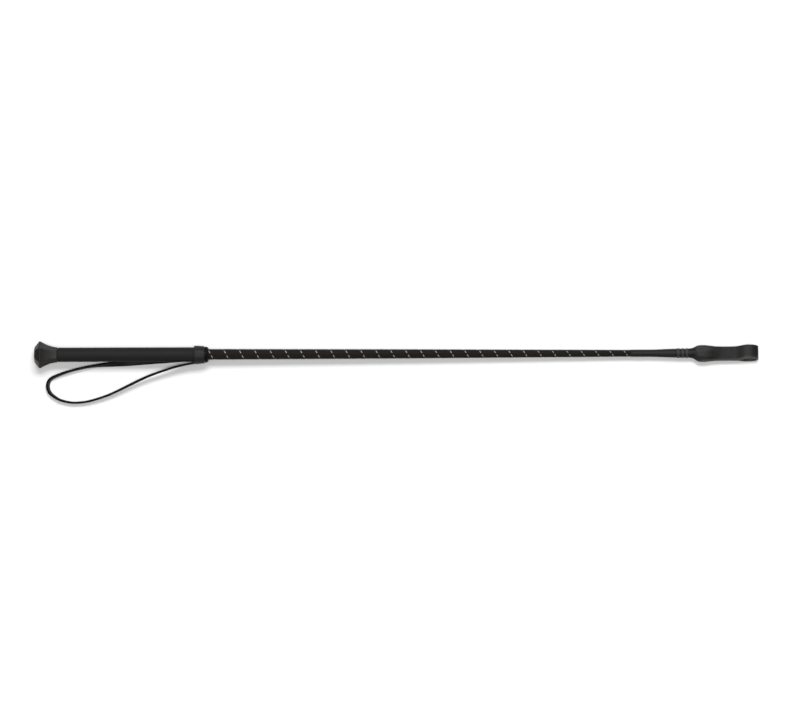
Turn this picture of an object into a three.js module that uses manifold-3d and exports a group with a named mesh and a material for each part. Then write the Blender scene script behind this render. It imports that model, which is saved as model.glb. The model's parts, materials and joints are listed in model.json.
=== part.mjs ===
// A riding crop lying on a table: hexagonal end cap, round grip, wrist strap held
// under a collar, tapered rod in a braided thread cover, bound tip and a folded
// leather flap. Millimetres, +Z up, +X from the cap to the flap.
//
// Every turned piece is drawn along the crop's own axis, with x measured from the
// end of the cap. The whole crop then leans by the small angle at which it rests
// on the rim of its cap and on the fold of its flap. The strap is drawn flat on
// the table beside it, with z measured from the table.

import * as THREE from 'three';
import { mergeVertices } from 'three/addons/utils/BufferGeometryUtils.js';
import Module from 'manifold-3d';

const wasm = await Module();
wasm.setup();

// ---------------------------------------------------------------- dimensions

const HANDLE_SIDES = 20;
const SHAFT_SIDES = 16;
const CUT_PAST = 1;
const MERGE_WITHIN = 1e-4;
const QUARTER_TURN = Math.PI / 2;
const FULL_TURN = Math.PI * 2;

const CAP = {
  sides: 6,
  length: 20.5,
  faceRadius: 6.8,
  rimStart: 4.3,
  rimEnd: 5.4,
  rimRadius: 12.36,
  neckRadius: 7.05,
  flareSteps: 6,
  flarePower: 1.75,
  socketStart: 9,
  socketRadius: 5.5,
};

const GRIP = { start: 20.8, end: 144.9, radius: 6.5, bore: 5.5, edge: 0.7 };
const FORMER = { start: 9.5, end: 138, radius: 5.2, bore: 3.2 };
const CORE = { start: 10, end: 612, startRadius: 2.9, endRadius: 1.5, bevel: 0.4 };
const FILLER = {
  start: 140,
  end: 566,
  startRadius: 3.95,
  endRadius: 2.15,
  startBore: 2.85,
  endBore: 1.8,
};
const BRAID = { wall: 0.6, line: [[140, 4.85], [343, 4.1], [543, 3.0]] };

const COLLAR = {
  outside: [
    [145.2, 7.8],
    [145.8, 8.15],
    [148.7, 8.15],
    [154.8, 7.8],
    [156.4, 7.45],
    [157.6, 6.8],
    [158.4, 5.95],
  ],
  inside: [[145.2, 7.55], [154.8, 7.45], [155.6, 7.0], [158.4, 5.45]],
  shiftY: -0.35,
  shiftZ: -0.3,
};
const BINDING = { start: 147.2, end: 154.6, radius: 7.35, bore: 6.95 };
const STRAP = { width: 4.6, thickness: 2.0, corner: 0.35, steps: 64 };
const TAIL = { start: 145.7, end: 155.4, thickness: 1.4, seat: 5.15, underAngle: 57 };

const FLECK = { rise: 0.26, gap: 0.1, halfWidth: 0.55, firstStep: 2, firstAngle: 60 };
const FLECK_START = 159.3;
const FLECK_PITCH = 14.04;
const FLECK_TIGHTENING = 0.01884;
const FLECK_LAST_X = 542.2;

const TIP = {
  outside: [[543.3, 3.28], [563, 3.28], [584.6, 4.0], [596.2, 4.0]],
  inside: [[543.3, 2.95], [563, 2.95], [568.6, 3.65], [596.2, 3.65]],
};
const WHIPPINGS = [
  { name: 'whipping_rear', start: 585.3, end: 587.9 },
  { name: 'whipping_middle', start: 589.5, end: 591.9 },
  { name: 'whipping_front', start: 593.3, end: 595.8 },
];
const WHIPPING = { radius: 4.5, bore: 4.15, round: 0.25 };

const FLAP = {
  tongue: [[568, 2.5], [571, 3.4], [598.6, 3.4]],
  rodHole: [[567, 1.9], [612.6, 1.9]],
  hinge: 620.4,
  halfLeaves: 1.5,
  foldTop: 654,
  end: 660,
  foldHalfHeight: 3.9,
  foldAngles: [78, 42, 15],
  noseAngles: [165, 135, 105],
  leaf: 1.4,
  cutDepth: 20,
};

// Half widths of the flap from above and half heights from the side, at each x.
const ROOT_WIDTHS = [
  [596.6, 4.2],
  [600, 5.0],
  [602.3, 5.6],
  [603.2, 6.6],
  [604.6, 7.4],
  [606.4, 7.65],
  [611, 7.7],
  [616, 7.1],
  [618.6, 6.7],
];
const ROOT_HEIGHTS = [[596.6, 3.5], [603, 3.7], [609, 3.5], [616, 2.3], [618.6, 1.6]];
const BLADE_WIDTHS = [
  [618.9, 6.6],
  [638, 6.6],
  [645, 6.95],
  [650, 7.15],
  [656.8, 7.1],
  [658.9, 6.6],
  [660, 5.4],
];
const BLADE_HEIGHTS = [[636, 1.5], [643, 2.2], [649, 3.4], [652, 3.9]];
const OPENING_HEIGHTS = [[641.6, 0.35], [648, 1.7], [652, 2.5]];

const FINISHES = {
  cap: { color: '#3d3a38', roughness: 0.42 },
  grip: { color: '#242322', roughness: 0.5 },
  former: { color: '#6d5f4d', roughness: 0.85 },
  collar: { color: '#343231', roughness: 0.55 },
  binding: { color: '#2b2927', roughness: 0.8 },
  strap: { color: '#2a2827', roughness: 0.6 },
  rod: { color: '#d8d2b4', roughness: 0.35 },
  filler: { color: '#4a4742', roughness: 0.9 },
  braid: { color: '#211e1c', roughness: 0.75 },
  bright: { color: '#cfc6b2', roughness: 0.3, metalness: 0.8 },
  sleeve: { color: '#23211f', roughness: 0.35 },
  whipping: { color: '#4b4846', roughness: 0.5 },
  flap: { color: '#393634', roughness: 0.6 },
};

// -------------------------------------------------------------------- helpers

/** A piece turned about the X axis from a profile of [x, radius] pairs. */
function turned(profile, sides, phase = 0) {
  const points = profile.map(([x, radius]) => new THREE.Vector2(radius, x));
  return new THREE.LatheGeometry(points, sides, phase).rotateZ(-QUARTER_TURN);
}

/** A closed profile for a tube: the outer line forwards, the inner line back. */
function tubeProfile(outer, inner) {
  return [inner[0], ...outer, ...inner.slice().reverse()];
}

/** Radius at x on a line of [x, radius] points. */
function radiusAt(line, x) {
  const next = Math.max(1, line.findIndex(([place]) => place >= x));
  const [[x0, r0], [x1, r1]] = [line[next - 1], line[next]];
  return r0 + ((x - x0) / (x1 - x0)) * (r1 - r0);
}

/** A plain straight or tapered tube. */
function tube(start, end, radii, bores, sides) {
  const outer = [[start, radii[0]], [end, radii[1]]];
  const inner = [[start, bores[0]], [end, bores[1]]];
  return turned(tubeProfile(outer, inner), sides);
}

/** Moves every vertex of a straight extrusion to its place along a route. */
function laidAlong(section, steps, place) {
  const geometry = new THREE.ExtrudeGeometry(section, { depth: 1, steps, bevelEnabled: false });
  const position = geometry.attributes.position;
  const point = new THREE.Vector3();
  for (let i = 0; i < position.count; i += 1) {
    place(position.getZ(i), position.getX(i), position.getY(i), point);
    position.setXYZ(i, point.x, point.y, point.z);
  }
  geometry.computeVertexNormals();
  return geometry;
}

/** A three.js geometry as a manifold solid, its shared vertices merged. */
function toSolid(geometry) {
  const bare = geometry.clone();
  bare.deleteAttribute('normal');
  bare.deleteAttribute('uv');
  const merged = mergeVertices(bare, MERGE_WITHIN);
  const index = merged.index.array;
  const kept = [];
  for (let i = 0; i < index.length; i += 3) {
    const [a, b, c] = [index[i], index[i + 1], index[i + 2]];
    if (a !== b && b !== c && c !== a) {
      kept.push(a, b, c);
    }
  }
  return new wasm.Manifold(new wasm.Mesh({
    numProp: 3,
    vertProperties: new Float32Array(merged.attributes.position.array),
    triVerts: new Uint32Array(kept),
  }));
}

/** A manifold solid as a three.js geometry. */
function toGeometry(solid) {
  const mesh = solid.getMesh();
  const geometry = new THREE.BufferGeometry();
  geometry.setAttribute('position', new THREE.BufferAttribute(mesh.vertProperties, 3));
  geometry.setIndex(new THREE.BufferAttribute(mesh.triVerts, 1));
  geometry.computeVertexNormals();
  return geometry;
}

/** A named mesh with one of the finishes. */
function part(name, geometry, finish) {
  const mesh = new THREE.Mesh(geometry, new THREE.MeshStandardMaterial(finish));
  mesh.name = name;
  return mesh;
}

// --------------------------------------------------------------------- handle

/** Hexagonal cap: flat end face, chamfer, rim and a concave flare to the neck. */
function endCap() {
  const profile = [[0, 0], [0, CAP.faceRadius], [CAP.rimStart, CAP.rimRadius]];
  for (let i = 0; i <= CAP.flareSteps; i += 1) {
    const share = i / CAP.flareSteps;
    const x = CAP.rimEnd + share * (CAP.length - CAP.rimEnd);
    const swell = (CAP.rimRadius - CAP.neckRadius) * (1 - share) ** CAP.flarePower;
    profile.push([x, CAP.neckRadius + swell]);
  }
  profile.push([CAP.length, 0]);
  const body = toSolid(turned(profile, CAP.sides, QUARTER_TURN));
  const past = CAP.length + CUT_PAST;
  const socket = toSolid(turned(
    [[CAP.socketStart, 0], [CAP.socketStart, CAP.socketRadius], [past, CAP.socketRadius], [past, 0]],
    HANDLE_SIDES,
  ));
  return part('end_cap', toGeometry(body.subtract(socket)), FINISHES.cap);
}

/** Smooth grip sleeve with a softened edge against the cap. */
function gripSleeve() {
  const outer = [
    [GRIP.start, GRIP.radius - GRIP.edge],
    [GRIP.start + GRIP.edge, GRIP.radius],
    [GRIP.end, GRIP.radius],
  ];
  const inner = [[GRIP.start, GRIP.bore], [GRIP.end, GRIP.bore]];
  const geometry = turned(tubeProfile(outer, inner), HANDLE_SIDES);
  return part('grip_sleeve', geometry, FINISHES.grip);
}

/** Tube that builds the rod up to the bore of the grip and plugs into the cap. */
function gripFormer() {
  const radii = [FORMER.radius, FORMER.radius];
  const bores = [FORMER.bore, FORMER.bore];
  const geometry = tube(FORMER.start, FORMER.end, radii, bores, HANDLE_SIDES);
  return part('grip_former', geometry, FINISHES.former);
}

/** Band that covers the front of the grip and the tails of the strap. */
function collar() {
  const geometry = turned(tubeProfile(COLLAR.outside, COLLAR.inside), HANDLE_SIDES);
  const mesh = part('collar', geometry, FINISHES.collar);
  mesh.position.set(0, COLLAR.shiftY, COLLAR.shiftZ);
  return mesh;
}

/** Thread wound over the strap's tails, under the collar. */
function strapBinding() {
  const radii = [BINDING.radius, BINDING.radius];
  const bores = [BINDING.bore, BINDING.bore];
  const geometry = tube(BINDING.start, BINDING.end, radii, bores, HANDLE_SIDES);
  const mesh = part('strap_binding', geometry, FINISHES.binding);
  mesh.position.set(0, COLLAR.shiftY, COLLAR.shiftZ);
  return mesh;
}

/** One tail of the strap where it lies against the braid under the collar. */
function strapTail(name, degreesBelowSide) {
  const length = TAIL.end - TAIL.start;
  const geometry = new THREE.BoxGeometry(length, TAIL.thickness, STRAP.width);
  geometry.translate((TAIL.start + TAIL.end) / 2, -TAIL.seat - TAIL.thickness / 2, 0);
  const mesh = part(name, geometry, FINISHES.strap);
  mesh.rotation.x = THREE.MathUtils.degToRad(degreesBelowSide);
  return mesh;
}

// ----------------------------------------------------------------- wrist strap

// Route of the strap's middle from one side of the collar round to the other:
// x from the end of the cap, y from the crop's axis, z above the table, and the
// roll in degrees, 0 where it stands on edge and 90 where it lies flat.
const STRAP_ROUTE = [
  [144.5, -7.75, 9.24, 0],
  [137.4, -9.1, 9, 0],
  [128.3, -11.25, 8.5, -1],
  [119, -14.15, 7.9, -2],
  [105.2, -19.05, 7, -4],
  [96, -23.05, 6.3, -7],
  [86.8, -27.5, 5.6, -6],
  [73, -34.15, 4.5, -2],
  [63.9, -37.95, 3.8, 0],
  [50.2, -42.15, 2.9, 0],
  [41.1, -43.6, 2.5, 0],
  [32, -43.6, 2.4, 0],
  [22.8, -41.35, 2.44, 5],
  [17.1, -38.1, 2.48, 11],
  [13.4, -34.8, 2.5, 18],
  [11.5, -30.6, 2.5, 23],
  [11.8, -25.6, 2.5, 23],
  [14.9, -21.5, 2.5, 19],
  [22.8, -17.9, 2.48, 12],
  [32, -14.85, 2.46, 6],
  [41.2, -12.5, 2.46, 6],
  [50.3, -10.85, 2.46, 12],
  [59.4, -9.65, 2.46, 26],
  [68.6, -8.9, 2.14, 48],
  [77.8, -8.4, 1.74, 70],
  [87, -8, 1.24, 86],
  [105.4, -6.6, 1.5, 101],
  [123.8, -5.2, 2, 114],
  [135, -4.45, 2.56, 121],
  [144.5, -4.2, 2.7, 123],
];

/** Flat section of the strap, its width along x and its corners cut off. */
function strapSection() {
  const halfWidth = STRAP.width / 2;
  const halfThickness = STRAP.thickness / 2;
  const cut = STRAP.corner;
  const corners = [];
  for (const [sx, sy, first] of [[1, 1, 'x'], [-1, 1, 'y'], [-1, -1, 'x'], [1, -1, 'y']]) {
    const onSide = new THREE.Vector2(sx * halfWidth, sy * (halfThickness - cut));
    const onFace = new THREE.Vector2(sx * (halfWidth - cut), sy * halfThickness);
    corners.push(...(first === 'x' ? [onSide, onFace] : [onFace, onSide]));
  }
  return new THREE.Shape(corners);
}

/** The strap between its two exits from the collar. */
function wristLoop() {
  const points = STRAP_ROUTE.map(([x, y, z]) => new THREE.Vector3(x, y, z));
  const curve = new THREE.CatmullRomCurve3(points);
  const up = new THREE.Vector3(0, 0, 1);
  const last = STRAP_ROUTE.length - 1;
  const geometry = laidAlong(strapSection(), STRAP.steps, (share, across, out, point) => {
    const place = curve.getUtoTmapping(share) * last;
    const before = Math.min(Math.floor(place), last - 1);
    const roll = THREE.MathUtils.degToRad(THREE.MathUtils.lerp(
      STRAP_ROUTE[before][3],
      STRAP_ROUTE[before + 1][3],
      place - before,
    ));
    const along = curve.getTangentAt(share);
    const level = new THREE.Vector3().crossVectors(up, along).normalize();
    const rising = new THREE.Vector3().crossVectors(along, level);
    point.copy(curve.getPointAt(share));
    point.addScaledVector(rising, across * Math.cos(roll) + out * Math.sin(roll));
    point.addScaledVector(level, across * Math.sin(roll) - out * Math.cos(roll));
  });
  return part('wrist_loop', geometry, FINISHES.strap);
}

// ---------------------------------------------------------------------- shaft

/** Tapered fibreglass rod that runs from the cap to the flap. */
function shaftCore() {
  const geometry = turned([
    [CORE.start, 0],
    [CORE.start, CORE.startRadius - CORE.bevel],
    [CORE.start + CORE.bevel, CORE.startRadius],
    [CORE.end - CORE.bevel, CORE.endRadius],
    [CORE.end, CORE.endRadius - CORE.bevel],
    [CORE.end, 0],
  ], SHAFT_SIDES);
  return part('shaft_core', geometry, FINISHES.rod);
}

/** Straight yarns that pad the rod under the braid. */
function shaftFiller() {
  const radii = [FILLER.startRadius, FILLER.endRadius];
  const bores = [FILLER.startBore, FILLER.endBore];
  const geometry = tube(FILLER.start, FILLER.end, radii, bores, SHAFT_SIDES);
  return part('shaft_filler', geometry, FINISHES.filler);
}

/** Braided thread cover, tapering from the grip to the tip. */
function braidCover() {
  const lining = BRAID.line.map(([x, radius]) => [x, radius - BRAID.wall]);
  const geometry = turned(tubeProfile(BRAID.line, lining), SHAFT_SIDES);
  return part('braid_cover', geometry, FINISHES.braid);
}

/** Distance along the crop that the bright yarn has reached after some turns. */
function fleckX(turns) {
  return FLECK_START + FLECK_PITCH * turns - FLECK_TIGHTENING * turns * turns;
}

/** Angle and place of the bright yarn at a step, each step one side of the braid. */
function fleckStep(step) {
  const angle = (step / SHAFT_SIDES) * FULL_TURN;
  const turns = (angle - THREE.MathUtils.degToRad(FLECK.firstAngle)) / FULL_TURN;
  return { angle, x: fleckX(turns) };
}

/** The one bright yarn of the braid, a long helix from the collar to the tip. */
function fleckThread() {
  let lastStep = FLECK.firstStep;
  while (fleckStep(lastStep + 1).x + FLECK.halfWidth < FLECK_LAST_X) {
    lastStep += 1;
  }
  const steps = lastStep - FLECK.firstStep;
  const section = new THREE.Shape([
    new THREE.Vector2(-FLECK.halfWidth, FLECK.gap),
    new THREE.Vector2(FLECK.halfWidth, FLECK.gap),
    new THREE.Vector2(0, FLECK.gap + FLECK.rise),
  ]);
  const geometry = laidAlong(section, steps, (share, offset, height, point) => {
    const step = Math.round(FLECK.firstStep + share * steps);
    const { angle, x } = fleckStep(step);
    const radius = radiusAt(BRAID.line, x + offset) + height;
    point.set(x + offset, radius * Math.cos(angle), radius * Math.sin(angle));
  });
  return part('fleck_thread', geometry, FINISHES.bright);
}

// ------------------------------------------------------------------------ tip

/** Smooth sleeve over the end of the braid, widening over the flap's tongues. */
function tipSleeve() {
  const geometry = turned(tubeProfile(TIP.outside, TIP.inside), SHAFT_SIDES);
  return part('tip_sleeve', geometry, FINISHES.sleeve);
}

/** One band of waxed thread wound round the tip. */
function whipping({ name, start, end }) {
  const outer = [
    [start, WHIPPING.radius - WHIPPING.round],
    [start + WHIPPING.round, WHIPPING.radius],
    [end - WHIPPING.round, WHIPPING.radius],
    [end, WHIPPING.radius - WHIPPING.round],
  ];
  const inner = [[start, WHIPPING.bore], [end, WHIPPING.bore]];
  return part(name, turned(tubeProfile(outer, inner), SHAFT_SIDES), FINISHES.whipping);
}

// ----------------------------------------------------------------------- flap

/** A closed shape from the half widths on each side of its middle line. */
function mirroredShape(half) {
  const front = half.map(([x, y]) => new THREE.Vector2(x, -y));
  const back = half.slice().reverse().map(([x, y]) => new THREE.Vector2(x, y));
  return new THREE.Shape([...front, ...back]);
}

/** A solid turned piece, closed on the axis at both ends. */
function turnedSolid(line) {
  const [first, last] = [line[0][0], line[line.length - 1][0]];
  return toSolid(turned([[first, 0], ...line, [last, 0]], SHAFT_SIDES));
}

/** A side view in X and Z, extruded across the flap. */
function acrossY(shape) {
  const depth = FLAP.cutDepth;
  const geometry = new THREE.ExtrudeGeometry(shape, { depth, bevelEnabled: false });
  return toSolid(geometry.translate(0, 0, -depth / 2).rotateX(QUARTER_TURN));
}

/** A plan view in X and Y, extruded up through the flap. */
function throughZ(shape) {
  const depth = FLAP.cutDepth;
  const geometry = new THREE.ExtrudeGeometry(shape, { depth, bevelEnabled: false });
  return toSolid(geometry.translate(0, 0, -depth / 2));
}

/** Root of the flap: tongues on the rod, a narrow neck and the wide patch. */
function flapRoot() {
  const patch = acrossY(mirroredShape(ROOT_HEIGHTS)).intersect(throughZ(mirroredShape(ROOT_WIDTHS)));
  const solid = patch.add(turnedSolid(FLAP.tongue)).subtract(turnedSolid(FLAP.rodHole));
  return part('flap_root', toGeometry(solid), FINISHES.flap);
}

/** Half outline of the fold at the end of the flap, at a distance inside its surface. */
function foldLine(inset) {
  const top = FLAP.foldHalfHeight - inset;
  const reach = FLAP.end - inset - FLAP.foldTop;
  return FLAP.foldAngles.map((degrees) => {
    const angle = THREE.MathUtils.degToRad(degrees);
    return [FLAP.foldTop + reach * Math.cos(angle), top * Math.sin(angle)];
  });
}

/** Blade of the flap: two leaves that part into an open fold at the end. */
function flapBlade() {
  const nose = FLAP.noseAngles.map((degrees) => {
    const angle = THREE.MathUtils.degToRad(degrees);
    const x = FLAP.hinge + FLAP.halfLeaves * Math.cos(angle);
    return [x, FLAP.halfLeaves * Math.sin(angle)];
  });
  const side = mirroredShape([...nose, ...BLADE_HEIGHTS, ...foldLine(0)]);
  side.holes.push(mirroredShape([...OPENING_HEIGHTS, ...foldLine(FLAP.leaf)]));
  const solid = acrossY(side).intersect(throughZ(mirroredShape(BLADE_WIDTHS)));
  return part('flap_blade', toGeometry(solid), FINISHES.flap);
}

// ------------------------------------------------------------------- assembly

const crop = new THREE.Group();
crop.add(
  endCap(),
  gripSleeve(),
  gripFormer(),
  collar(),
  strapBinding(),
  strapTail('strap_tail_side', 0),
  strapTail('strap_tail_under', TAIL.underAngle),
  shaftCore(),
  shaftFiller(),
  braidCover(),
  fleckThread(),
  tipSleeve(),
  ...WHIPPINGS.map(whipping),
  flapRoot(),
  flapBlade(),
);

const rimApothem = CAP.rimRadius * Math.cos(Math.PI / CAP.sides);
const lean = Math.atan((rimApothem - FLAP.foldHalfHeight) / (FLAP.foldTop - CAP.rimEnd));
crop.rotation.y = lean;
crop.updateMatrixWorld(true);

// The origin is the middle of the crop's footprint on the table.
const box = new THREE.Box3().setFromObject(crop, true);
const middle = box.getCenter(new THREE.Vector3());
crop.position.set(-middle.x, -middle.y, -box.min.z);

const strap = new THREE.Group();
strap.add(wristLoop());
strap.position.set(-middle.x, 0, 0);

const ridingCrop = new THREE.Group();
ridingCrop.add(crop, strap);

export default ridingCrop;
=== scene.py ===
import json
import math

import bpy
import numpy as np
from mathutils import Matrix, Vector


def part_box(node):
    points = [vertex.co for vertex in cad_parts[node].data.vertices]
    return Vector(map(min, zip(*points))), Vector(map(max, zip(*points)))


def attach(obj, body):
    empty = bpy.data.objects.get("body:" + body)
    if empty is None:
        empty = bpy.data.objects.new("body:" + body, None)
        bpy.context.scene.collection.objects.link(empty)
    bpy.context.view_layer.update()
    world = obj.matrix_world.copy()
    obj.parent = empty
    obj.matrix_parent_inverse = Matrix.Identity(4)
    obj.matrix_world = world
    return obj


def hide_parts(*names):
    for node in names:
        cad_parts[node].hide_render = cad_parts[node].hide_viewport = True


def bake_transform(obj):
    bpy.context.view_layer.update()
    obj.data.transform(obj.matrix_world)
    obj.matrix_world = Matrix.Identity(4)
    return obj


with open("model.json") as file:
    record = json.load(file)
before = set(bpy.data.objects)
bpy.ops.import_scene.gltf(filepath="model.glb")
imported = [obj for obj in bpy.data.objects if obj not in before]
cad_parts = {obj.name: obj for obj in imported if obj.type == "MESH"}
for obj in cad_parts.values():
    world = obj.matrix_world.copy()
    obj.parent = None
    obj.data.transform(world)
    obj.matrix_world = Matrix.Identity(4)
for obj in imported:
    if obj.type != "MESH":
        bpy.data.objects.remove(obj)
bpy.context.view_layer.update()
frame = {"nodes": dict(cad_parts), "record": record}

# The looks of a riding crop that lies on a pale table. Everything is in metres, in
# the row's frame: +X from the cap to the flap, +Z up, the wrist loop on the -Y side.
# Turned pieces are drawn along the crop's own axis, with x from the end of its cap,
# and then set on the slightly leaning line that the CAD model gives.

MM = 0.001
ROOT = "handle_and_shaft"


# ------------------------------------------------------------------ the frame

def mount(name):
    """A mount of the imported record."""
    return next(m for m in frame["record"]["mounts"] if m["name"] == name)


def crop_matrix():
    """From the crop's own axis, x from the end of the cap, to the row's frame."""
    face = mount("cap_end_face")
    along = -Vector(face["axis"]).normalized()
    side = Vector((0, 1, 0))
    matrix = Matrix((along, side, along.cross(side))).transposed().to_4x4()
    matrix.translation = Vector(face["pos_m"])
    return np.array(matrix)


CROP = crop_matrix()
TURN, ORIGIN = CROP[:3, :3], CROP[:3, 3]


def to_row(points):
    """Points along the crop's own axis, in the row's frame."""
    return np.asarray(points) @ TURN.T + ORIGIN


def local_points(node):
    """Points of a CAD node, along the crop's own axis."""
    vertices = frame["nodes"][node].data.vertices
    return (np.array([v.co for v in vertices]) - ORIGIN) @ TURN


def local_box(node):
    """Lowest and highest corner of a CAD node, along the crop's own axis."""
    local = local_points(node)
    return local.min(axis=0), local.max(axis=0)


def size_of(node):
    """Start, end, radius and the middle in y and z of a turned CAD node."""
    low, high = local_box(node)
    return low[0], high[0], (high[1] - low[1]) / 2, (low[1:] + high[1:]) / 2


# -------------------------------------------------------------- camera, lights

PICTURE_WIDTH = 0.7287
PICTURE_CENTRE = (3.0 * MM, -3.3 * MM)
PICTURE_ROLL = math.radians(-0.15)
LENS = 180.0
SENSOR = 36.0
CAMERA_SEES_TO = 20
FLOOR_REACH = 6.0


def make_camera():
    """Straight down on the crop, far enough for an almost flat view."""
    data = bpy.data.cameras.new("camera")
    data.lens = LENS
    data.sensor_width = SENSOR
    data.clip_end = CAMERA_SEES_TO
    camera = bpy.data.objects.new("camera", data)
    bpy.context.scene.collection.objects.link(camera)
    half_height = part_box("end_cap")[1][2] / 2
    camera.location = (*PICTURE_CENTRE, half_height + PICTURE_WIDTH * LENS / SENSOR)
    camera.rotation_euler = (0, 0, PICTURE_ROLL)
    bpy.context.scene.camera = camera


def area_light(name, place, size, power):
    """A rectangular soft light aimed at the middle of the crop."""
    data = bpy.data.lights.new(name, "AREA")
    data.shape = "RECTANGLE"
    data.size, data.size_y = size
    data.energy = power
    light = bpy.data.objects.new(name, data)
    light.location = place
    light.rotation_euler = (-Vector(place)).to_track_quat("-Z", "Y").to_euler()
    bpy.context.scene.collection.objects.link(light)


def make_studio():
    """A wide soft light from the far side, a weaker one overhead, and a dim room."""
    area_light("key", (0.2, 2.25, 3.3), (2.4, 1.3), 124)
    area_light("overhead", (0.0, -0.25, 3.5), (2.0, 1.1), 58)
    world = bpy.data.worlds.new("room")
    world.use_nodes = True
    background = world.node_tree.nodes["Background"]
    background.inputs["Color"].default_value = (1.0, 1.0, 1.0, 1)
    background.inputs["Strength"].default_value = 0.17
    bpy.context.scene.world = world
    bpy.context.scene.view_settings.view_transform = "Standard"


def make_floor():
    """A plain pale table top."""
    mesh = bpy.data.meshes.new("floor")
    signs = [(-1, -1), (1, -1), (1, 1), (-1, 1)]
    corners = [(x * FLOOR_REACH, y * FLOOR_REACH, 0) for x, y in signs]
    mesh.from_pydata(corners, [], [(0, 1, 2, 3)])
    floor = bpy.data.objects.new("floor", mesh)
    bpy.context.scene.collection.objects.link(floor)
    paint = Paint("floor_white", (0.93, 0.93, 0.93), 0.8)
    mesh.materials.append(paint.material)


# ------------------------------------------------------------------- materials

MIX_FIRST_COLOR, MIX_SECOND_COLOR, MIX_COLOR_RESULT = 6, 7, 2


class Paint:
    """A procedural material: one shader, with colour, roughness and bump built up."""

    def __init__(self, name, color, roughness, space="Object", **sockets):
        self.material = bpy.data.materials.new(name)
        self.material.use_nodes = True
        self.tree = self.material.node_tree
        self.shader = self.tree.nodes["Principled BSDF"]
        self.shader.inputs["Base Color"].default_value = (*color, 1)
        self.shader.inputs["Roughness"].default_value = roughness
        for socket, value in sockets.items():
            self.shader.inputs[socket.replace("_", " ")].default_value = value
        self.base = self.constant(color)
        self.space = self.node("ShaderNodeTexCoord").outputs[space]
        self.normal = None

    def node(self, kind, **values):
        """A new node, its named inputs and properties set."""
        node = self.tree.nodes.new(kind)
        for key, value in values.items():
            if key in node.inputs:
                node.inputs[key].default_value = value
            else:
                setattr(node, key, value)
        return node

    def link(self, output, target):
        self.tree.links.new(output, target)

    def constant(self, color):
        node = self.node("ShaderNodeRGB")
        node.outputs[0].default_value = (*color, 1)
        return node.outputs[0]

    def stretched(self, scale):
        """Texture space with its own scale, in repeats per metre, on each axis."""
        mapping = self.node("ShaderNodeMapping")
        mapping.inputs["Scale"].default_value = scale
        self.link(self.space, mapping.inputs["Vector"])
        return mapping.outputs["Vector"]

    def noise(self, scale, detail=3.0, roughness=0.55):
        """Cloudy noise; scale is one number or one for each axis."""
        scale = scale if hasattr(scale, "__len__") else (scale, scale, scale)
        node = self.node("ShaderNodeTexNoise", Scale=1.0, Detail=detail, Roughness=roughness)
        self.link(self.stretched(scale), node.inputs["Vector"])
        return node.outputs["Fac"]

    def cells(self, scale):
        """Rounded cells, as in leather grain."""
        node = self.node("ShaderNodeTexVoronoi", Scale=1.0)
        self.link(self.stretched((scale, scale, scale)), node.inputs["Vector"])
        return node.outputs["Distance"]

    def ramp(self, value, low, high, start=0.0, end=1.0):
        """Value from low..high to start..end."""
        node = self.node("ShaderNodeMapRange")
        self.link(value, node.inputs["Value"])
        for key, number in zip(("From Min", "From Max", "To Min", "To Max"), (low, high, start, end)):
            node.inputs[key].default_value = number
        return node.outputs["Result"]

    def attribute(self, name):
        """A number kept on the mesh's points."""
        return self.node("ShaderNodeAttribute", attribute_name=name).outputs["Fac"]

    def blend(self, factor, color):
        """Mixes another colour in where factor is high."""
        mix = self.node("ShaderNodeMix", data_type="RGBA")
        self.link(factor, mix.inputs["Factor"])
        self.link(self.base, mix.inputs[MIX_FIRST_COLOR])
        mix.inputs[MIX_SECOND_COLOR].default_value = (*color, 1)
        self.base = mix.outputs[MIX_COLOR_RESULT]
        self.link(self.base, self.shader.inputs["Base Color"])

    def vary_roughness(self, value, low, high):
        """Roughness that follows a texture from low to high."""
        self.link(self.ramp(value, 0.25, 0.75, low, high), self.shader.inputs["Roughness"])

    def bump(self, height, depth, strength=1.0):
        """Relief of the given depth in metres, on top of any relief already there."""
        node = self.node("ShaderNodeBump", Distance=depth, Strength=strength)
        self.link(height, node.inputs["Height"])
        if self.normal is not None:
            self.link(self.normal, node.inputs["Normal"])
        self.normal = node.outputs["Normal"]
        self.link(self.normal, self.shader.inputs["Normal"])


def cap_paint():
    """Satin moulded plastic, finely spark-eroded, faintly rubbed, with painted shade darkening its
    end.
    """
    paint = Paint("cap_plastic", (0.0240, 0.0226, 0.0215), 0.4, Specular_IOR_Level=0.1)
    paint.blend(paint.ramp(paint.noise(90, 4), 0.45, 0.75, 0, 0.6), (0.026, 0.0235, 0.0215))
    # Painted shade: darkens the cap's end face and chamfer, less on the rim, none near the neck.
    paint.blend(paint.attribute("painted_shade"), (0.0075, 0.0058, 0.0048))
    paint.vary_roughness(paint.noise(160, 4), 0.33, 0.46)
    paint.bump(paint.noise(3200, 2), 0.02 * MM, 0.5)
    return paint.material


def grip_paint():
    """Smooth rubber with a fine skin and faint marks drawn along the handle."""
    paint = Paint("grip_rubber", (0.0172, 0.0172, 0.0168), 0.4, Specular_IOR_Level=0.03)
    paint.blend(paint.ramp(paint.noise((25, 260, 260), 4), 0.5, 0.8, 0, 0.7), (0.021, 0.021, 0.0205))
    paint.vary_roughness(paint.noise((40, 300, 300), 3), 0.36, 0.5)
    paint.bump(paint.cells(1800), 0.03 * MM, 0.35)
    paint.bump(paint.noise((60, 500, 500), 3), 0.04 * MM, 0.4)
    return paint.material


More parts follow.
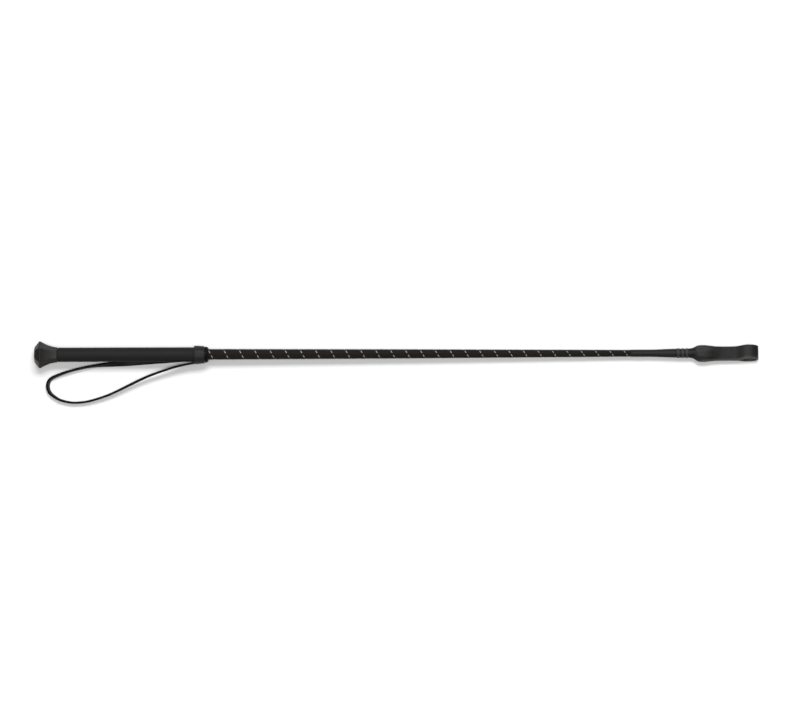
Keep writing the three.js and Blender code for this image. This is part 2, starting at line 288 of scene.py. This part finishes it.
def collar_paint():
    """Slightly polished rubber band, its shoulder next to the braid darker."""
    paint = Paint("collar_rubber", (0.0175, 0.017, 0.0168), 0.42, Specular_IOR_Level=0.1)
    paint.blend(paint.ramp(paint.noise(300, 3), 0.5, 0.8, 0, 0.5), (0.026, 0.025, 0.0245))
    paint.blend(paint.attribute("shoulder"), (0.003, 0.0028, 0.0026))
    paint.vary_roughness(paint.noise(400, 3), 0.38, 0.52)
    paint.bump(paint.noise((250, 900, 900), 3), 0.05 * MM, 0.4)
    return paint.material


def leather_paint(name, color, edge_color, roughness, grain, gloss, inside=None):
    """Pebbled leather: cell grain, creases, its own colour on the cut edges (on the flap partly a
    painted highlight), and painted shade where the inside mask is high.
    """
    paint = Paint(name, color, roughness, space="UV", Specular_IOR_Level=gloss)
    lighter = tuple(channel * 1.5 for channel in color)
    paint.blend(paint.ramp(paint.noise(140, 5), 0.45, 0.8, 0, 0.7), lighter)
    # Painted shade: the given colour where the mesh's inside mask is high.
    if inside:
        paint.blend(paint.attribute("inside"), inside)
    # Cut-edge colour; on the flap it is partly a painted highlight.
    paint.blend(paint.attribute("edge"), edge_color)
    paint.vary_roughness(paint.noise(420, 4), roughness - 0.07, roughness + 0.09)
    paint.bump(paint.cells(grain), 0.06 * MM, 0.45)
    paint.bump(paint.noise(grain * 0.35, 5, 0.65), 0.09 * MM, 0.35)
    return paint.material


def yarn_paint(name, color, roughness, strands, **sockets):
    """Thread: fine filaments along its length and slow changes of tone."""
    paint = Paint(name, color, roughness, space="UV", **sockets)
    lighter = tuple(min(1.0, channel * 1.7) for channel in color)
    paint.blend(paint.ramp(paint.noise((180, strands, 1), 2), 0.45, 0.75, 0, 0.8), lighter)
    paint.bump(paint.noise((240, strands, 1), 2), 0.06 * MM, 0.8)
    return paint.material


def sleeve_paint():
    """Shrunk plastic sleeve: smooth, with faint rings where it has drawn in."""
    paint = Paint("tip_plastic", (0.0155, 0.0145, 0.014), 0.4, Specular_IOR_Level=0.08)
    paint.blend(paint.ramp(paint.noise(120, 3), 0.5, 0.8, 0, 0.5), (0.022, 0.021, 0.0205))
    paint.vary_roughness(paint.noise((300, 120, 120), 3), 0.34, 0.48)
    paint.bump(paint.noise((420, 60, 60), 3), 0.06 * MM, 0.4)
    return paint.material


def hidden_paint(name, color, roughness, along, across):
    """Plain inner material with a grain that runs along the crop."""
    paint = Paint(name, color, roughness)
    darker = tuple(channel * 0.7 for channel in color)
    paint.blend(paint.ramp(paint.noise((along, across, across), 3), 0.4, 0.7, 0, 0.8), darker)
    paint.bump(paint.noise((along, across, across), 3), 0.08 * MM, 0.5)
    return paint.material


# ---------------------------------------------------------------- mesh helpers

def new_object(name, vertices, faces, uv=None, smooth_angle=40):
    """A shaded mesh object in the scene, in the row's frame."""
    mesh = bpy.data.meshes.new(name)
    mesh.from_pydata([tuple(v) for v in vertices], [], faces)
    if uv is not None:
        loops = np.zeros(len(mesh.loops), int)
        mesh.loops.foreach_get("vertex_index", loops)
        layer = mesh.uv_layers.new(name="UVMap")
        layer.data.foreach_set("uv", uv[loops].astype(np.float32).ravel())
    mesh.shade_smooth()
    mesh.set_sharp_from_angle(angle=math.radians(smooth_angle))
    mesh.validate()
    obj = bpy.data.objects.new(name, mesh)
    bpy.context.scene.collection.objects.link(obj)
    return obj


def grid_faces(rings, around, loop=False, start=0):
    """Quads between rings of points; loop joins the last ring to the first."""
    faces = []
    for i in range(rings if loop else rings - 1):
        a = start + i * around
        b = start + ((i + 1) % rings) * around
        for j in range(around):
            k = (j + 1) % around
            faces.append((a + j, a + k, b + k, b + j))
    return faces


def loft(name, rings, loop=False, smooth_angle=40):
    """A closed surface through rings of points, with flat ends or joined to itself."""
    rings = np.asarray(rings, float)
    count, around = rings.shape[:2]
    faces = grid_faces(count, around, loop)
    if not loop:
        faces.append(tuple(reversed(range(around))))
        faces.append(tuple(range((count - 1) * around, count * around)))
    steps = np.linalg.norm(np.diff(rings.mean(axis=1), axis=0), axis=1)
    along = np.concatenate(([0], np.cumsum(steps)))
    girth = np.linalg.norm(np.diff(rings, axis=1), axis=2).mean(axis=0)
    across = np.concatenate(([0], np.cumsum(girth)))
    uv = np.stack(np.meshgrid(along, across, indexing="ij"), axis=2).reshape(-1, 2)
    return new_object(name, rings.reshape(-1, 3), faces, uv, smooth_angle)


def set_attribute(obj, name, values):
    """Keeps a number on each point for the material to read."""
    attribute = obj.data.attributes.new(name, "FLOAT", "POINT")
    attribute.data.foreach_set("value", np.asarray(values, np.float32))


def softened(corners, radius, steps=5):
    """A line of points with each inner corner rounded off."""
    corners = [np.array(c, float) for c in corners]
    line = [corners[0]]
    for before, corner, after in zip(corners, corners[1:], corners[2:]):
        into, out = before - corner, after - corner
        cut_in = min(radius, np.linalg.norm(into) / 2)
        cut_out = min(radius, np.linalg.norm(out) / 2)
        a = corner + into / np.linalg.norm(into) * cut_in
        b = corner + out / np.linalg.norm(out) * cut_out
        for t in np.linspace(0, 1, steps):
            line.append((1 - t) ** 2 * a + 2 * t * (1 - t) * corner + t * t * b)
    line.append(corners[-1])
    return np.array(line)


def round_ring(x, radius, angles, centre=(0, 0)):
    """A ring across the crop's axis; radius is one number or one for each angle."""
    y = centre[0] + radius * np.cos(angles)
    z = centre[1] + radius * np.sin(angles)
    return np.stack([np.full_like(angles, x), y, z], axis=1)


def full_circle(sides):
    return np.linspace(0, 2 * math.pi, sides, endpoint=False)


def turned(name, profile, sides=96, centre=(0, 0), loop=False, swell=None):
    """A surface turned about the crop's axis; swell(x, angle) adds to the radius."""
    angles = full_circle(sides)
    rings = []
    for x, radius in profile:
        extra = swell(x, angles) if swell else 0
        rings.append(round_ring(x, radius + extra, angles, centre))
    return loft(name, to_row(rings), loop)


def smoothstep(value, low, high):
    t = np.clip((np.asarray(value, float) - low) / (high - low), 0, 1)
    return t * t * (3 - 2 * t)


SPLINE_SHARES = np.linspace(0, 1, 24, endpoint=False)


def catmull_rom(points, steps):
    """A smooth line through points, evenly resampled, with every column blended."""
    points = np.asarray(points, float)
    padded = np.vstack([2 * points[0] - points[1], points, 2 * points[-1] - points[-2]])
    fine = []
    for a, b, c, d in zip(padded, padded[1:], padded[2:], padded[3:]):
        for t in SPLINE_SHARES:
            fine.append(0.5 * (
                2 * b + (c - a) * t + (2 * a - 5 * b + 4 * c - d) * t * t
                + (3 * b - a - 3 * c + d) * t ** 3
            ))
    fine = np.array([*fine, points[-1]])
    lengths = np.linalg.norm(np.diff(fine[:, :3], axis=0), axis=1)
    along = np.concatenate(([0], np.cumsum(lengths)))
    even = np.linspace(0, along[-1], steps)
    columns = [np.interp(even, along, fine[:, k]) for k in range(fine.shape[1])]
    return np.stack(columns, axis=1), along[-1]


def rounded_section(half_width, half_thickness, corner, flat_points=9, corner_points=4):
    """Points round a flat strip's section, width first, edges rounded."""
    points = []
    edge = half_width - corner
    rise = half_thickness - corner
    for side, centre in enumerate([(edge, rise), (-edge, rise), (-edge, -rise), (edge, -rise)]):
        start = side * math.pi / 2
        for t in np.linspace(0, math.pi / 2, corner_points):
            angle = start + t
            w = centre[0] + corner * math.cos(angle)
            h = centre[1] + corner * math.sin(angle)
            points.append((w, h))
        if side in (0, 2):
            across = np.linspace(edge, -edge, flat_points + 2)[1:-1]
            level = half_thickness if side == 0 else -half_thickness
            signed = across if side == 0 else -across
            points.extend((w, level) for w in signed)
    return np.array(points)


# ---------------------------------------------------------------- wrist strap

# Middle of the strap from under one side of the collar round to the other: x from
# the end of the cap, y from the crop's axis, z above the table, in metres, and the
# roll in degrees, 0 on edge and 90 flat. Between the collar's two exits the points
# are those of the CAD model; two more at each end are the tucked tails.
STRAP_ROUTE = [
    (0.1554, -0.00585, 0.0091, 0),
    (0.15, -0.0059, 0.0092, 0),
    (0.1445, -0.00775, 0.00924, 0),
    (0.1374, -0.0091, 0.009, 0),
    (0.1283, -0.01125, 0.0085, -1),
    (0.119, -0.01415, 0.0079, -2),
    (0.1052, -0.01905, 0.007, -4),
    (0.096, -0.02305, 0.0063, -7),
    (0.0868, -0.0275, 0.0056, -6),
    (0.073, -0.03415, 0.0045, -2),
    (0.0639, -0.03795, 0.0038, 0),
    (0.0502, -0.04215, 0.0029, 0),
    (0.0411, -0.0436, 0.0025, 0),
    (0.032, -0.0436, 0.0024, 0),
    (0.0228, -0.04135, 0.00244, 5),
    (0.0171, -0.0381, 0.00248, 11),
    (0.0134, -0.0348, 0.0025, 18),
    (0.0115, -0.0306, 0.0025, 23),
    (0.0118, -0.0256, 0.0025, 23),
    (0.0149, -0.0215, 0.0025, 19),
    (0.0228, -0.0179, 0.00248, 12),
    (0.032, -0.01485, 0.00246, 6),
    (0.0412, -0.0125, 0.00246, 6),
    (0.0503, -0.01085, 0.00246, 12),
    (0.0594, -0.00965, 0.00246, 26),
    (0.0686, -0.0089, 0.00214, 48),
    (0.0778, -0.0084, 0.00174, 70),
    (0.087, -0.008, 0.00124, 86),
    (0.1054, -0.0066, 0.0015, 101),
    (0.1238, -0.0052, 0.002, 114),
    (0.135, -0.00445, 0.00256, 121),
    (0.1445, -0.0042, 0.0027, 123),
    (0.15, -0.0032, 0.0042, 123),
    (0.1554, -0.0032, 0.0042, 123),
]
STRAP_WIDTH = 4.6 * MM
STRAP_THICKNESS = 2.0 * MM
STRAP_CORNER = 0.45 * MM
STRAP_STEPS = 420
STRAP_COLOR = (0.0145, 0.0142, 0.0139)
STRAP_EDGE_COLOR = (0.0016, 0.0015, 0.0014)


def make_strap():
    """One leather strap, both tails under the collar, twisted flat beside the grip."""
    route = np.array(STRAP_ROUTE)
    route[:, 0] += ORIGIN[0]
    route[:, 3] = np.radians(route[:, 3])
    line, length = catmull_rom(route, STRAP_STEPS)
    middle, roll = line[:, :3], line[:, 3]
    along = np.gradient(middle, axis=0)
    along /= np.linalg.norm(along, axis=1)[:, None]
    level = np.cross([0, 0, 1], along)
    level /= np.linalg.norm(level, axis=1)[:, None]
    rising = np.cross(along, level)
    width = rising * np.cos(roll)[:, None] + level * np.sin(roll)[:, None]
    face = rising * np.sin(roll)[:, None] - level * np.cos(roll)[:, None]
    section = rounded_section(STRAP_WIDTH / 2, STRAP_THICKNESS / 2, STRAP_CORNER)
    rings = (
        middle[:, None, :]
        + section[None, :, :1] * width[:, None, :]
        + section[None, :, 1:] * face[:, None, :]
    )
    strap = loft("wrist_strap", rings, smooth_angle=60)
    cut_edge = smoothstep(np.abs(section[:, 0]), 0.44 * STRAP_WIDTH, 0.49 * STRAP_WIDTH)
    set_attribute(strap, "edge", np.tile(cut_edge, len(rings)))
    strap.data.materials.append(
        leather_paint("strap_leather", STRAP_COLOR, STRAP_EDGE_COLOR, 0.42, 1500, 0.06)
    )
    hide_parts("wrist_loop", "strap_tail_side", "strap_tail_under")
    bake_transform(strap)


# --------------------------------------------------------------------- handle

CAP_FACE_SHARE = 0.55
CAP_RIM_START = 4.3 * MM
CAP_RIM_END = 5.4 * MM
CAP_NECK = 7.05 * MM
FLARE_POWER = 1.75
HEXAGON = 6
HANDLE_SIDES = 128
SOFT_EDGE = 0.3 * MM


SECTOR = 360 / HEXAGON


def hexagon_angles():
    """Angles round the cap, close together at the six ridges."""
    near = np.array([0, 0.5, 1.0, 1.6, 2.4, 3.6, 5.4, 8, 12, 17, 23])
    sector = np.concatenate([near, [SECTOR / 2], (SECTOR - near[:0:-1])])
    return np.radians(np.concatenate([SECTOR * k + sector for k in range(HEXAGON)]))


def hexagon_radius(ridge, angles, sharpness):
    """Radius of a hexagon with a ridge on +Y, its ridges slightly rounded."""
    flat = ridge * math.cos(math.pi / HEXAGON)
    total = 0
    for k in range(HEXAGON):
        facing = np.cos(angles - math.radians(SECTOR / 2 + SECTOR * k))
        total = total + (np.clip(facing, 0.01, None) / flat) ** sharpness
    return total ** (-1 / sharpness)


def make_cap():
    """Hexagonal cap: flat end, chamfer, rim and concave flare, edges softened."""
    start, end, rim, _ = size_of("end_cap")
    face = CAP_FACE_SHARE * rim
    corners = [(start, 0.2 * face), (start, face), (CAP_RIM_START, rim), (CAP_RIM_END, rim)]
    flare = []
    for share in np.linspace(0.02, 1, 26):
        x = CAP_RIM_END + share * (end - CAP_RIM_END)
        flare.append((x, CAP_NECK + (rim - CAP_NECK) * (1 - share) ** FLARE_POWER))
    head = softened([*corners, flare[1]], SOFT_EDGE)[:-1]
    tail = softened([*flare[1:], (end, CAP_NECK - 0.9 * MM)], SOFT_EDGE)
    profile = [*head, *tail]
    angles = hexagon_angles()
    rings = []
    for x, ridge in profile:
        sharpness = 60 - 25 * min(1, max(0, x / end))
        rings.append(round_ring(x, hexagon_radius(ridge, angles, sharpness), angles))
    cap = loft("hexagonal_cap", to_row(rings), smooth_angle=30)
    places = np.array([x for x, _ in profile])
    # Painted shade: full on the end face and chamfer, a third on the rim, fading out along the flare.
    painted_shade = 1 - 0.65 * smoothstep(places, CAP_RIM_START, CAP_RIM_END + 0.5 * MM)
    painted_shade = painted_shade * (1 - smoothstep(places, CAP_RIM_END + 1 * MM, CAP_RIM_END + 6 * MM))
    set_attribute(cap, "painted_shade", np.repeat(painted_shade, len(angles)))
    cap.data.materials.append(cap_paint())
    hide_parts("end_cap")
    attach(cap, ROOT)


def make_grip():
    """Smooth round grip with soft ends."""
    start, end, radius, _ = size_of("grip_sleeve")
    shown_from, shown_to = start - 0.2 * MM, end + 0.5 * MM
    hollow = radius - 2.2 * MM
    corners = [
        (shown_from, hollow),
        (shown_from, radius - 0.15 * MM),
        (start + 0.9 * MM, radius),
        (shown_to, radius),
        (shown_to, hollow),
    ]
    grip = turned("grip", softened(corners, 0.5 * MM), sides=HANDLE_SIDES)
    grip.data.materials.append(grip_paint())
    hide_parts("grip_sleeve")
    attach(grip, ROOT)


def make_collar():
    """Thin band drawn over the grip's end and the tails, turned in to the braid."""
    start, end, radius, centre = size_of("collar")
    outer = [
        (start, radius - 0.55 * MM),
        (start + 0.3 * MM, radius - 0.1 * MM),
        (start + 1.6 * MM, radius),
        (start + 4.5 * MM, radius - 0.05 * MM),
        (end - 4.0 * MM, radius - 0.3 * MM),
        (end - 3.7 * MM, radius - 1.15 * MM),
        (end - 3.0 * MM, radius - 1.15 * MM),
        (end - 2.7 * MM, radius - 0.65 * MM),
        (end - 0.8 * MM, radius - 1.35 * MM),
        (end, radius - 2.3 * MM),
    ]
    inner = [
        (end - 0.1 * MM, radius - 2.75 * MM),
        (end - 2.8 * MM, radius - 1.6 * MM),
        (start + 0.2 * MM, radius - 0.95 * MM),
    ]
    profile = softened([*outer, *inner, outer[0]], 0.25 * MM, 4)[:-1]
    tails = (math.pi, math.radians(180 + 57))
    tail_spread = 0.42

    def swell(x, angles):
        fade = 1 - smoothstep(x, start + 1 * MM, start + 8 * MM)
        total = 0
        for tail in tails:
            away = np.angle(np.exp(1j * (angles - tail)))
            total = total + np.exp(-((away / tail_spread) ** 2))
        uneven = 0.12 * np.sin(3 * angles + 0.7) + 0.08 * np.sin(5 * angles + 400 * x)
        return (0.55 * fade * total + uneven) * MM

    collar = turned("collar_band", profile, HANDLE_SIDES, centre, loop=True, swell=swell)
    past_band = smoothstep([x for x, _ in profile], end - 3.8 * MM, end - 3.3 * MM)
    set_attribute(collar, "shoulder", np.repeat(past_band, HANDLE_SIDES))
    collar.data.materials.append(collar_paint())
    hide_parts("collar")
    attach(collar, ROOT)


# ---------------------------------------------------------------------- braid

# Twelve yarns wind each way. FLECK_START is where the bright one shows first, and its
# pitch falls by twice FLECK_TIGHTENING a turn as the shaft gets thinner.
CARRIERS = 12
SAMPLES_PER_TURN = 42
FLECK_START = 159.3 * MM
FLECK_PITCH = 14.04 * MM
FLECK_TIGHTENING = 0.01884 * MM
FIRST_ANGLE = math.radians(60)
CROSS_ANGLE = math.radians(15)
WEAVE_RISE = 0.15 * MM
YARN_HALF_THICKNESS = 0.21 * MM
YARN_DEPTH = 0.27 * MM
YARN_FULLNESS = 1.02
FLECK_FULLNESS = 0.62
YARN_STEP = 0.62 * MM
YARN_TONE_SHIFT = 0.11
WAVE_SQUARENESS = 2.2
LINING_INSET = 0.62 * MM

# A yarn's section, crowned outside: shares of its half width and its half thickness.
YARN_ACROSS = np.array([-1, -0.55, 0, 0.55, 1, 0])
YARN_HEIGHT = np.array([-0.25, 0.7, 1.0, 0.7, -0.25, -0.7])


def measure_braid():
    """Places and radii of the rings of the braided cover's outside."""
    local = local_points("braid_cover")
    radius = np.hypot(local[:, 1], local[:, 2])
    places = np.unique(np.round(local[:, 0], 4))
    return places, [radius[np.abs(local[:, 0] - x) < 0.1 * MM].max() for x in places]


BRAID_PLACES, BRAID_RADII = measure_braid()


def braid_radius(x):
    """Radius of the braid's outside."""
    return np.interp(x, BRAID_PLACES, BRAID_RADII)


def yarn_rings(hand, index, first_turn, last_turn, fullness):
    """Rings of one flat yarn that winds right (hand 1) or left (hand -1)."""
    samples = int((last_turn - first_turn) * SAMPLES_PER_TURN)
    turns = np.linspace(first_turn, last_turn, samples)
    x = FLECK_START + FLECK_PITCH * turns - FLECK_TIGHTENING * turns ** 2
    offset = FIRST_ANGLE if hand > 0 else CROSS_ANGLE
    angle = hand * 2 * math.pi * turns + offset + index * 2 * math.pi / CARRIERS
    swing = np.cos(CARRIERS / 2 * angle)
    wave = np.tanh(WAVE_SQUARENESS * swing) / np.tanh(WAVE_SQUARENESS)
    radius = braid_radius(x) - YARN_DEPTH + hand * WEAVE_RISE * wave
    pitch = FLECK_PITCH - 2 * FLECK_TIGHTENING * turns
    slope = np.arctan2(2 * math.pi * radius, pitch)
    half_width = math.pi * radius / CARRIERS * np.cos(slope) * fullness
    across = YARN_ACROSS[None, :] * half_width[:, None]
    lift = YARN_HEIGHT[None, :] * YARN_HALF_THICKNESS
    ring_x = x[:, None] + across * np.sin(slope)[:, None]
    ring_radius = radius[:, None] + lift
    turn_by = -hand * across * np.cos(slope)[:, None] / radius[:, None]
    ring_angle = angle[:, None] + turn_by
    y = ring_radius * np.cos(ring_angle)
    z = ring_radius * np.sin(ring_angle)
    return np.stack([ring_x, y, z], axis=2)


def yarns(name, hand, indices, first_turn, last_turn, fullness):
    """One object with several yarns wound the same way."""
    vertices, faces, uv = [], [], []
    for index in indices:
        rings = to_row(yarn_rings(hand, index, first_turn, last_turn, fullness))
        count, around = rings.shape[:2]
        base = len(vertices) * count * around
        loops = grid_faces(count, around, start=base)
        if hand > 0:
            loops = [tuple(reversed(f)) for f in loops]
        faces.extend(loops)
        vertices.append(rings.reshape(-1, 3))
        length = np.arange(count)[:, None] * YARN_STEP + index * YARN_TONE_SHIFT
        width = np.linspace(0, 1.6 * MM, around)[None, :]
        uv.append(np.stack(np.broadcast_arrays(length, width), axis=2).reshape(-1, 2))
    return new_object(name, np.vstack(vertices), faces, np.vstack(uv), 60)


def make_braid():
    """Two-over-two-under braid of 24 yarns, one of them bright, over a dark lining."""
    shown_from = local_box("collar")[1][0] - 6 * MM
    shown_to = local_box("tip_sleeve")[0][0] + 0.8 * MM
    first_turn = (shown_from - FLECK_START) / FLECK_PITCH
    reach = FLECK_PITCH ** 2 - 4 * FLECK_TIGHTENING * (shown_to - FLECK_START)
    last_turn = (FLECK_PITCH - math.sqrt(reach)) / (2 * FLECK_TIGHTENING)
    dark = yarn_paint("braid_thread", (0.0105, 0.0090, 0.0078), 0.6, 5200, Specular_IOR_Level=0.1)
    bright = yarn_paint("bright_yarn", (0.41, 0.395, 0.36), 0.35, 4200, Metallic=0.3)
    groups = [
        ("braid_right_wound", 1, range(1, CARRIERS), dark, "braid_thread", YARN_FULLNESS),
        ("braid_left_wound", -1, range(CARRIERS), dark, "braid_thread", YARN_FULLNESS),
        ("bright_fleck_yarn", 1, [0], bright, "bright_yarn", FLECK_FULLNESS),
    ]
    for name, hand, indices, paint, slot, fullness in groups:
        obj = yarns(name, hand, indices, first_turn, last_turn, fullness)
        obj.data.materials.append(paint)
        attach(obj, ROOT)
        if name == "bright_fleck_yarn":
            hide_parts("fleck_thread")
    first, last = BRAID_PLACES[0], BRAID_PLACES[-1]
    skin = [(x, braid_radius(x) - LINING_INSET) for x in BRAID_PLACES]
    profile = [(first, 3 * MM), *skin, (last, 2 * MM)]
    lining = turned("braid_lining", profile, sides=64)
    lining.data.materials.append(dark)
    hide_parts("braid_cover")
    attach(lining, ROOT)


# ------------------------------------------------------------------------ tip

def make_sleeve():
    """Smooth sleeve that widens over the flap's tongues, its surface a little uneven."""
    start, end, radius, _ = size_of("tip_sleeve")
    slim = 3.28 * MM
    cone_start, cone_end = start + 16 * MM, start + 42 * MM
    xs = np.linspace(start, end, 150)
    swell = smoothstep(xs, cone_start, cone_end)
    radii = slim + (radius - slim) * swell
    radii += 0.03 * MM * np.sin(xs / MM * 1.7) * np.sin(xs / MM * 0.43)
    profile = [(start, slim - 0.9 * MM), (start + 0.05 * MM, slim - 0.25 * MM)]
    profile += list(zip(xs[1:], radii[1:]))
    profile += [(end, radius - 0.8 * MM)]
    sleeve = turned("tip_cover", profile, sides=96)
    sleeve.data.materials.append(sleeve_paint())
    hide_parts("tip_sleeve")
    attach(sleeve, ROOT)


WHIPPING_TURNS = 5


def make_whipping(node, paint):
    """A band of waxed thread: one helix wound close, turn beside turn."""
    start, end, radius, _ = size_of(node)
    thread = (end - start) / (WHIPPING_TURNS + 1) / 2
    steps = 40 * WHIPPING_TURNS
    winds = np.linspace(0, WHIPPING_TURNS, steps)
    x = start + thread + winds / WHIPPING_TURNS * (end - start - 2 * thread)
    middle = radius - thread
    section = full_circle(8)
    angle = 2 * math.pi * winds
    ring_radius = middle + thread * np.sin(section)[None, :] * np.ones((steps, 1))
    ring_x = x[:, None] + thread * 1.04 * np.cos(section)[None, :]
    y = ring_radius * np.cos(angle)[:, None]
    z = ring_radius * np.sin(angle)[:, None]
    band = loft(f"{node}_thread", to_row(np.stack([ring_x, y, z], axis=2)), smooth_angle=80)
    band.data.materials.append(paint)
    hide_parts(node)
    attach(band, ROOT)


# ----------------------------------------------------------------------- flap

LEAF = 1.4 * MM
FOLD_HALF_HEIGHT = 3.2 * MM
FOLD_SKEW = 0.45
ROD_WRAP_RADIUS = 3.3 * MM
PILLOW_HEIGHT = 1.6 * MM
PILLOW_HALF_WIDTH = 4.6 * MM
PATCH_THICKNESS = 0.55 * MM
FLAP_COLOR = (0.0215, 0.0203, 0.0203)
# Lighter colour for the cut edges, partly their own tone and partly painted highlight, and for the
# painted highlight strip on the -Y side.
FLAP_EDGE_AND_HIGHLIGHT_COLOR = (0.115, 0.108, 0.102)
# Colour of the painted shade on the flap's inner faces, neck, middle and end.
FLAP_PAINTED_SHADE_COLOR = (0.006, 0.0055, 0.005)

# Half width of the leather and the side shift of its middle, at each x from the cap.
FLAP_PLAN = np.array([
    (0.5956, 0.0039, 0.0),
    (0.5990, 0.0045, 0.0),
    (0.6012, 0.0052, 0.0),
    (0.6030, 0.0064, -0.0001),
    (0.6045, 0.0072, -0.0003),
    (0.6065, 0.00765, -0.0004),
    (0.6110, 0.0077, -0.0004),
    (0.6160, 0.0071, -0.0004),
    (0.6210, 0.00665, -0.0005),
    (0.6270, 0.0065, -0.00055),
    (0.6380, 0.0065, -0.0005),
    (0.6450, 0.0064, -0.0002),
    (0.6500, 0.0062, 0.0),
    (0.6600, 0.0062, 0.0),
])


def flap_line(neck, end):
    """Middle of the leather seen from the side: upper leaf, open fold, lower leaf."""
    rise_from, top = end - 23 * MM, end - 10 * MM
    patch_end = neck + 13 * MM
    over_patch = np.linspace(neck, patch_end, 60)[:-1]
    xs = np.concatenate([over_patch, np.linspace(patch_end, top, 90)])
    heights = LEAF / 2 + (FOLD_HALF_HEIGHT - LEAF / 2) * smoothstep(xs, rise_from, top)
    upper = np.stack([xs, heights], axis=1)
    reach = end - LEAF / 2 - top
    bend = np.linspace(math.pi / 2, -math.pi / 2, 42)[1:-1]
    fold = np.stack([top + reach * np.cos(bend) ** 0.9, FOLD_HALF_HEIGHT * np.sin(bend)], axis=1)
    lower = upper[::-1] * (1, -1)
    return np.vstack([upper, fold, lower])


def patch_start(across, root):
    """Where the wide patch over the rod starts, further on at its rounded corners."""
    return root - 2.2 * MM + 3.4 * MM * (np.abs(across) / (7.6 * MM)) ** 4


def flap_lift(x, across, outside, root):
    """How far the leather stands out over the rod's tip, and at the patch on it."""
    wrap = np.sqrt(np.clip(ROD_WRAP_RADIUS ** 2 - across ** 2, 0, None))
    pillow = PILLOW_HEIGHT * np.exp(-((across / PILLOW_HALF_WIDTH) ** 4))
    spread = smoothstep(x, root - 3.5 * MM, root + 1 * MM)
    over_rod = 1 - smoothstep(x, root + 3 * MM, root + 25 * MM)
    lift = over_rod * ((1 - spread) * wrap * 0.75 + spread * pillow)
    patch = smoothstep(x - patch_start(across, root), 0, 0.7 * MM) * over_rod
    return lift + PATCH_THICKNESS * patch * outside


def flap_tones(x, across, half_width, root, end):
    """How much painted edge highlight and painted shade the leather has.

    The first is full on the cut edges, lighter partly in their own tone and partly as a
    painted highlight, and part on a painted highlight strip along the -Y side. The second
    is painted shade on the neck (there also dark binding glue), on the middle, and on the
    end that turns into the fold.
    """
    # The cut edges: lighter, partly in their own tone and partly as a painted highlight.
    side_edge = smoothstep(np.abs(across), half_width - 0.4 * MM, half_width - 0.05 * MM)
    # Painted highlight: a light strip along the -Y side.
    painted_highlight_strip = 0.3 * smoothstep(-across, half_width - 2.1 * MM, half_width - 1.3 * MM)
    painted_highlight_strip = painted_highlight_strip * smoothstep(x, root, root + 6 * MM)
    edge = np.maximum(side_edge, painted_highlight_strip) * smoothstep(x, root - 2 * MM, root)
    # Painted shade on the neck (there also dark binding glue), the middle and the end before the
    # fold.
    neck = 0.75 * (1 - smoothstep(x - patch_start(across, root), -0.3 * MM, 0.3 * MM))
    painted_shade = 0.72 * smoothstep(x, root + 7 * MM, root + 15 * MM)
    painted_shade = painted_shade * (1 - smoothstep(x, end - 14 * MM, end - 9 * MM))
    turned_end = 0.55 * smoothstep(x, end - 8 * MM, end - 4.5 * MM)
    return edge, np.maximum(neck, painted_shade + turned_end)


def make_flap():
    """One strip of leather, folded in half over the rod's tip and left open at the fold."""
    sleeve_end = local_box("tip_sleeve")[1][0]
    end = local_box("flap_blade")[1][0]
    root = sleeve_end + 7.5 * MM
    line = flap_line(sleeve_end - 0.6 * MM, end)
    step = np.gradient(line, axis=0)
    step /= np.linalg.norm(step, axis=1)[:, None]
    normal = np.stack([-step[:, 1], step[:, 0]], axis=1)
    rings, edges, shade_masks = [], [], []
    for (x, z), (nx, nz) in zip(line, normal):
        half_width = float(np.interp(x, FLAP_PLAN[:, 0], FLAP_PLAN[:, 1]))
        shift = np.interp(x, FLAP_PLAN[:, 0], FLAP_PLAN[:, 2])
        section = rounded_section(half_width, LEAF / 2, 0.42 * MM, 17, 5)
        across = section[:, 0]
        offset = section[:, 1] + flap_lift(x, across, section[:, 1] > 0, root)
        points_z = z + offset * nz
        skew = FOLD_SKEW * smoothstep(x, end - 27 * MM, end - 9 * MM)
        points_y = across + shift + skew * points_z
        rings.append(np.stack([x + offset * nx, points_y, points_z], axis=1))
        edge, shade = flap_tones(x, across, half_width, root, end)
        edges.append(edge)
        # Painted shade: the mask from flap_tones, and full on the inner faces of the leaves.
        shade_masks.append(np.maximum(shade, section[:, 1] < -0.2 * MM))
    flap = loft("leather_flap", to_row(rings), smooth_angle=70)
    set_attribute(flap, "edge", np.concatenate(edges))
    set_attribute(flap, "inside", np.concatenate(shade_masks))
    flap.data.materials.append(leather_paint(
        "flap_leather", FLAP_COLOR, FLAP_EDGE_AND_HIGHLIGHT_COLOR, 0.4, 1300, 0.12, inside=FLAP_PAINTED_SHADE_COLOR
    ))
    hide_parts("flap_root", "flap_blade")
    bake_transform(flap)


# --------------------------------------------------------------- inner pieces

def paint_inner_pieces():
    """Better materials on the CAD pieces that lie inside."""
    finishes = {
        "grip_former": hidden_paint("former_board", (0.22, 0.16, 0.1), 0.8, 60, 500),
        "shaft_core": hidden_paint("rod_fibreglass", (0.62, 0.58, 0.42), 0.35, 12, 900),
        "shaft_filler": hidden_paint("filler_yarn", (0.08, 0.075, 0.07), 0.9, 20, 1500),
        "strap_binding": hidden_paint("binding_thread", (0.02, 0.018, 0.017), 0.7, 2200, 60),
    }
    for node, material in finishes.items():
        obj = frame["nodes"][node]
        obj.data.materials.clear()
        obj.data.materials.append(material)


make_camera()
make_strap()
make_studio()
make_floor()
make_cap()
make_grip()
make_collar()
make_braid()
make_sleeve()
whipping_paint = yarn_paint(
    "whipping_thread", (0.036, 0.0342, 0.0335), 0.42, 3000, Specular_IOR_Level=0.35
)
for whipping in ("whipping_rear", "whipping_middle", "whipping_front"):
    make_whipping(whipping, whipping_paint)
make_flap()
paint_inner_pieces()
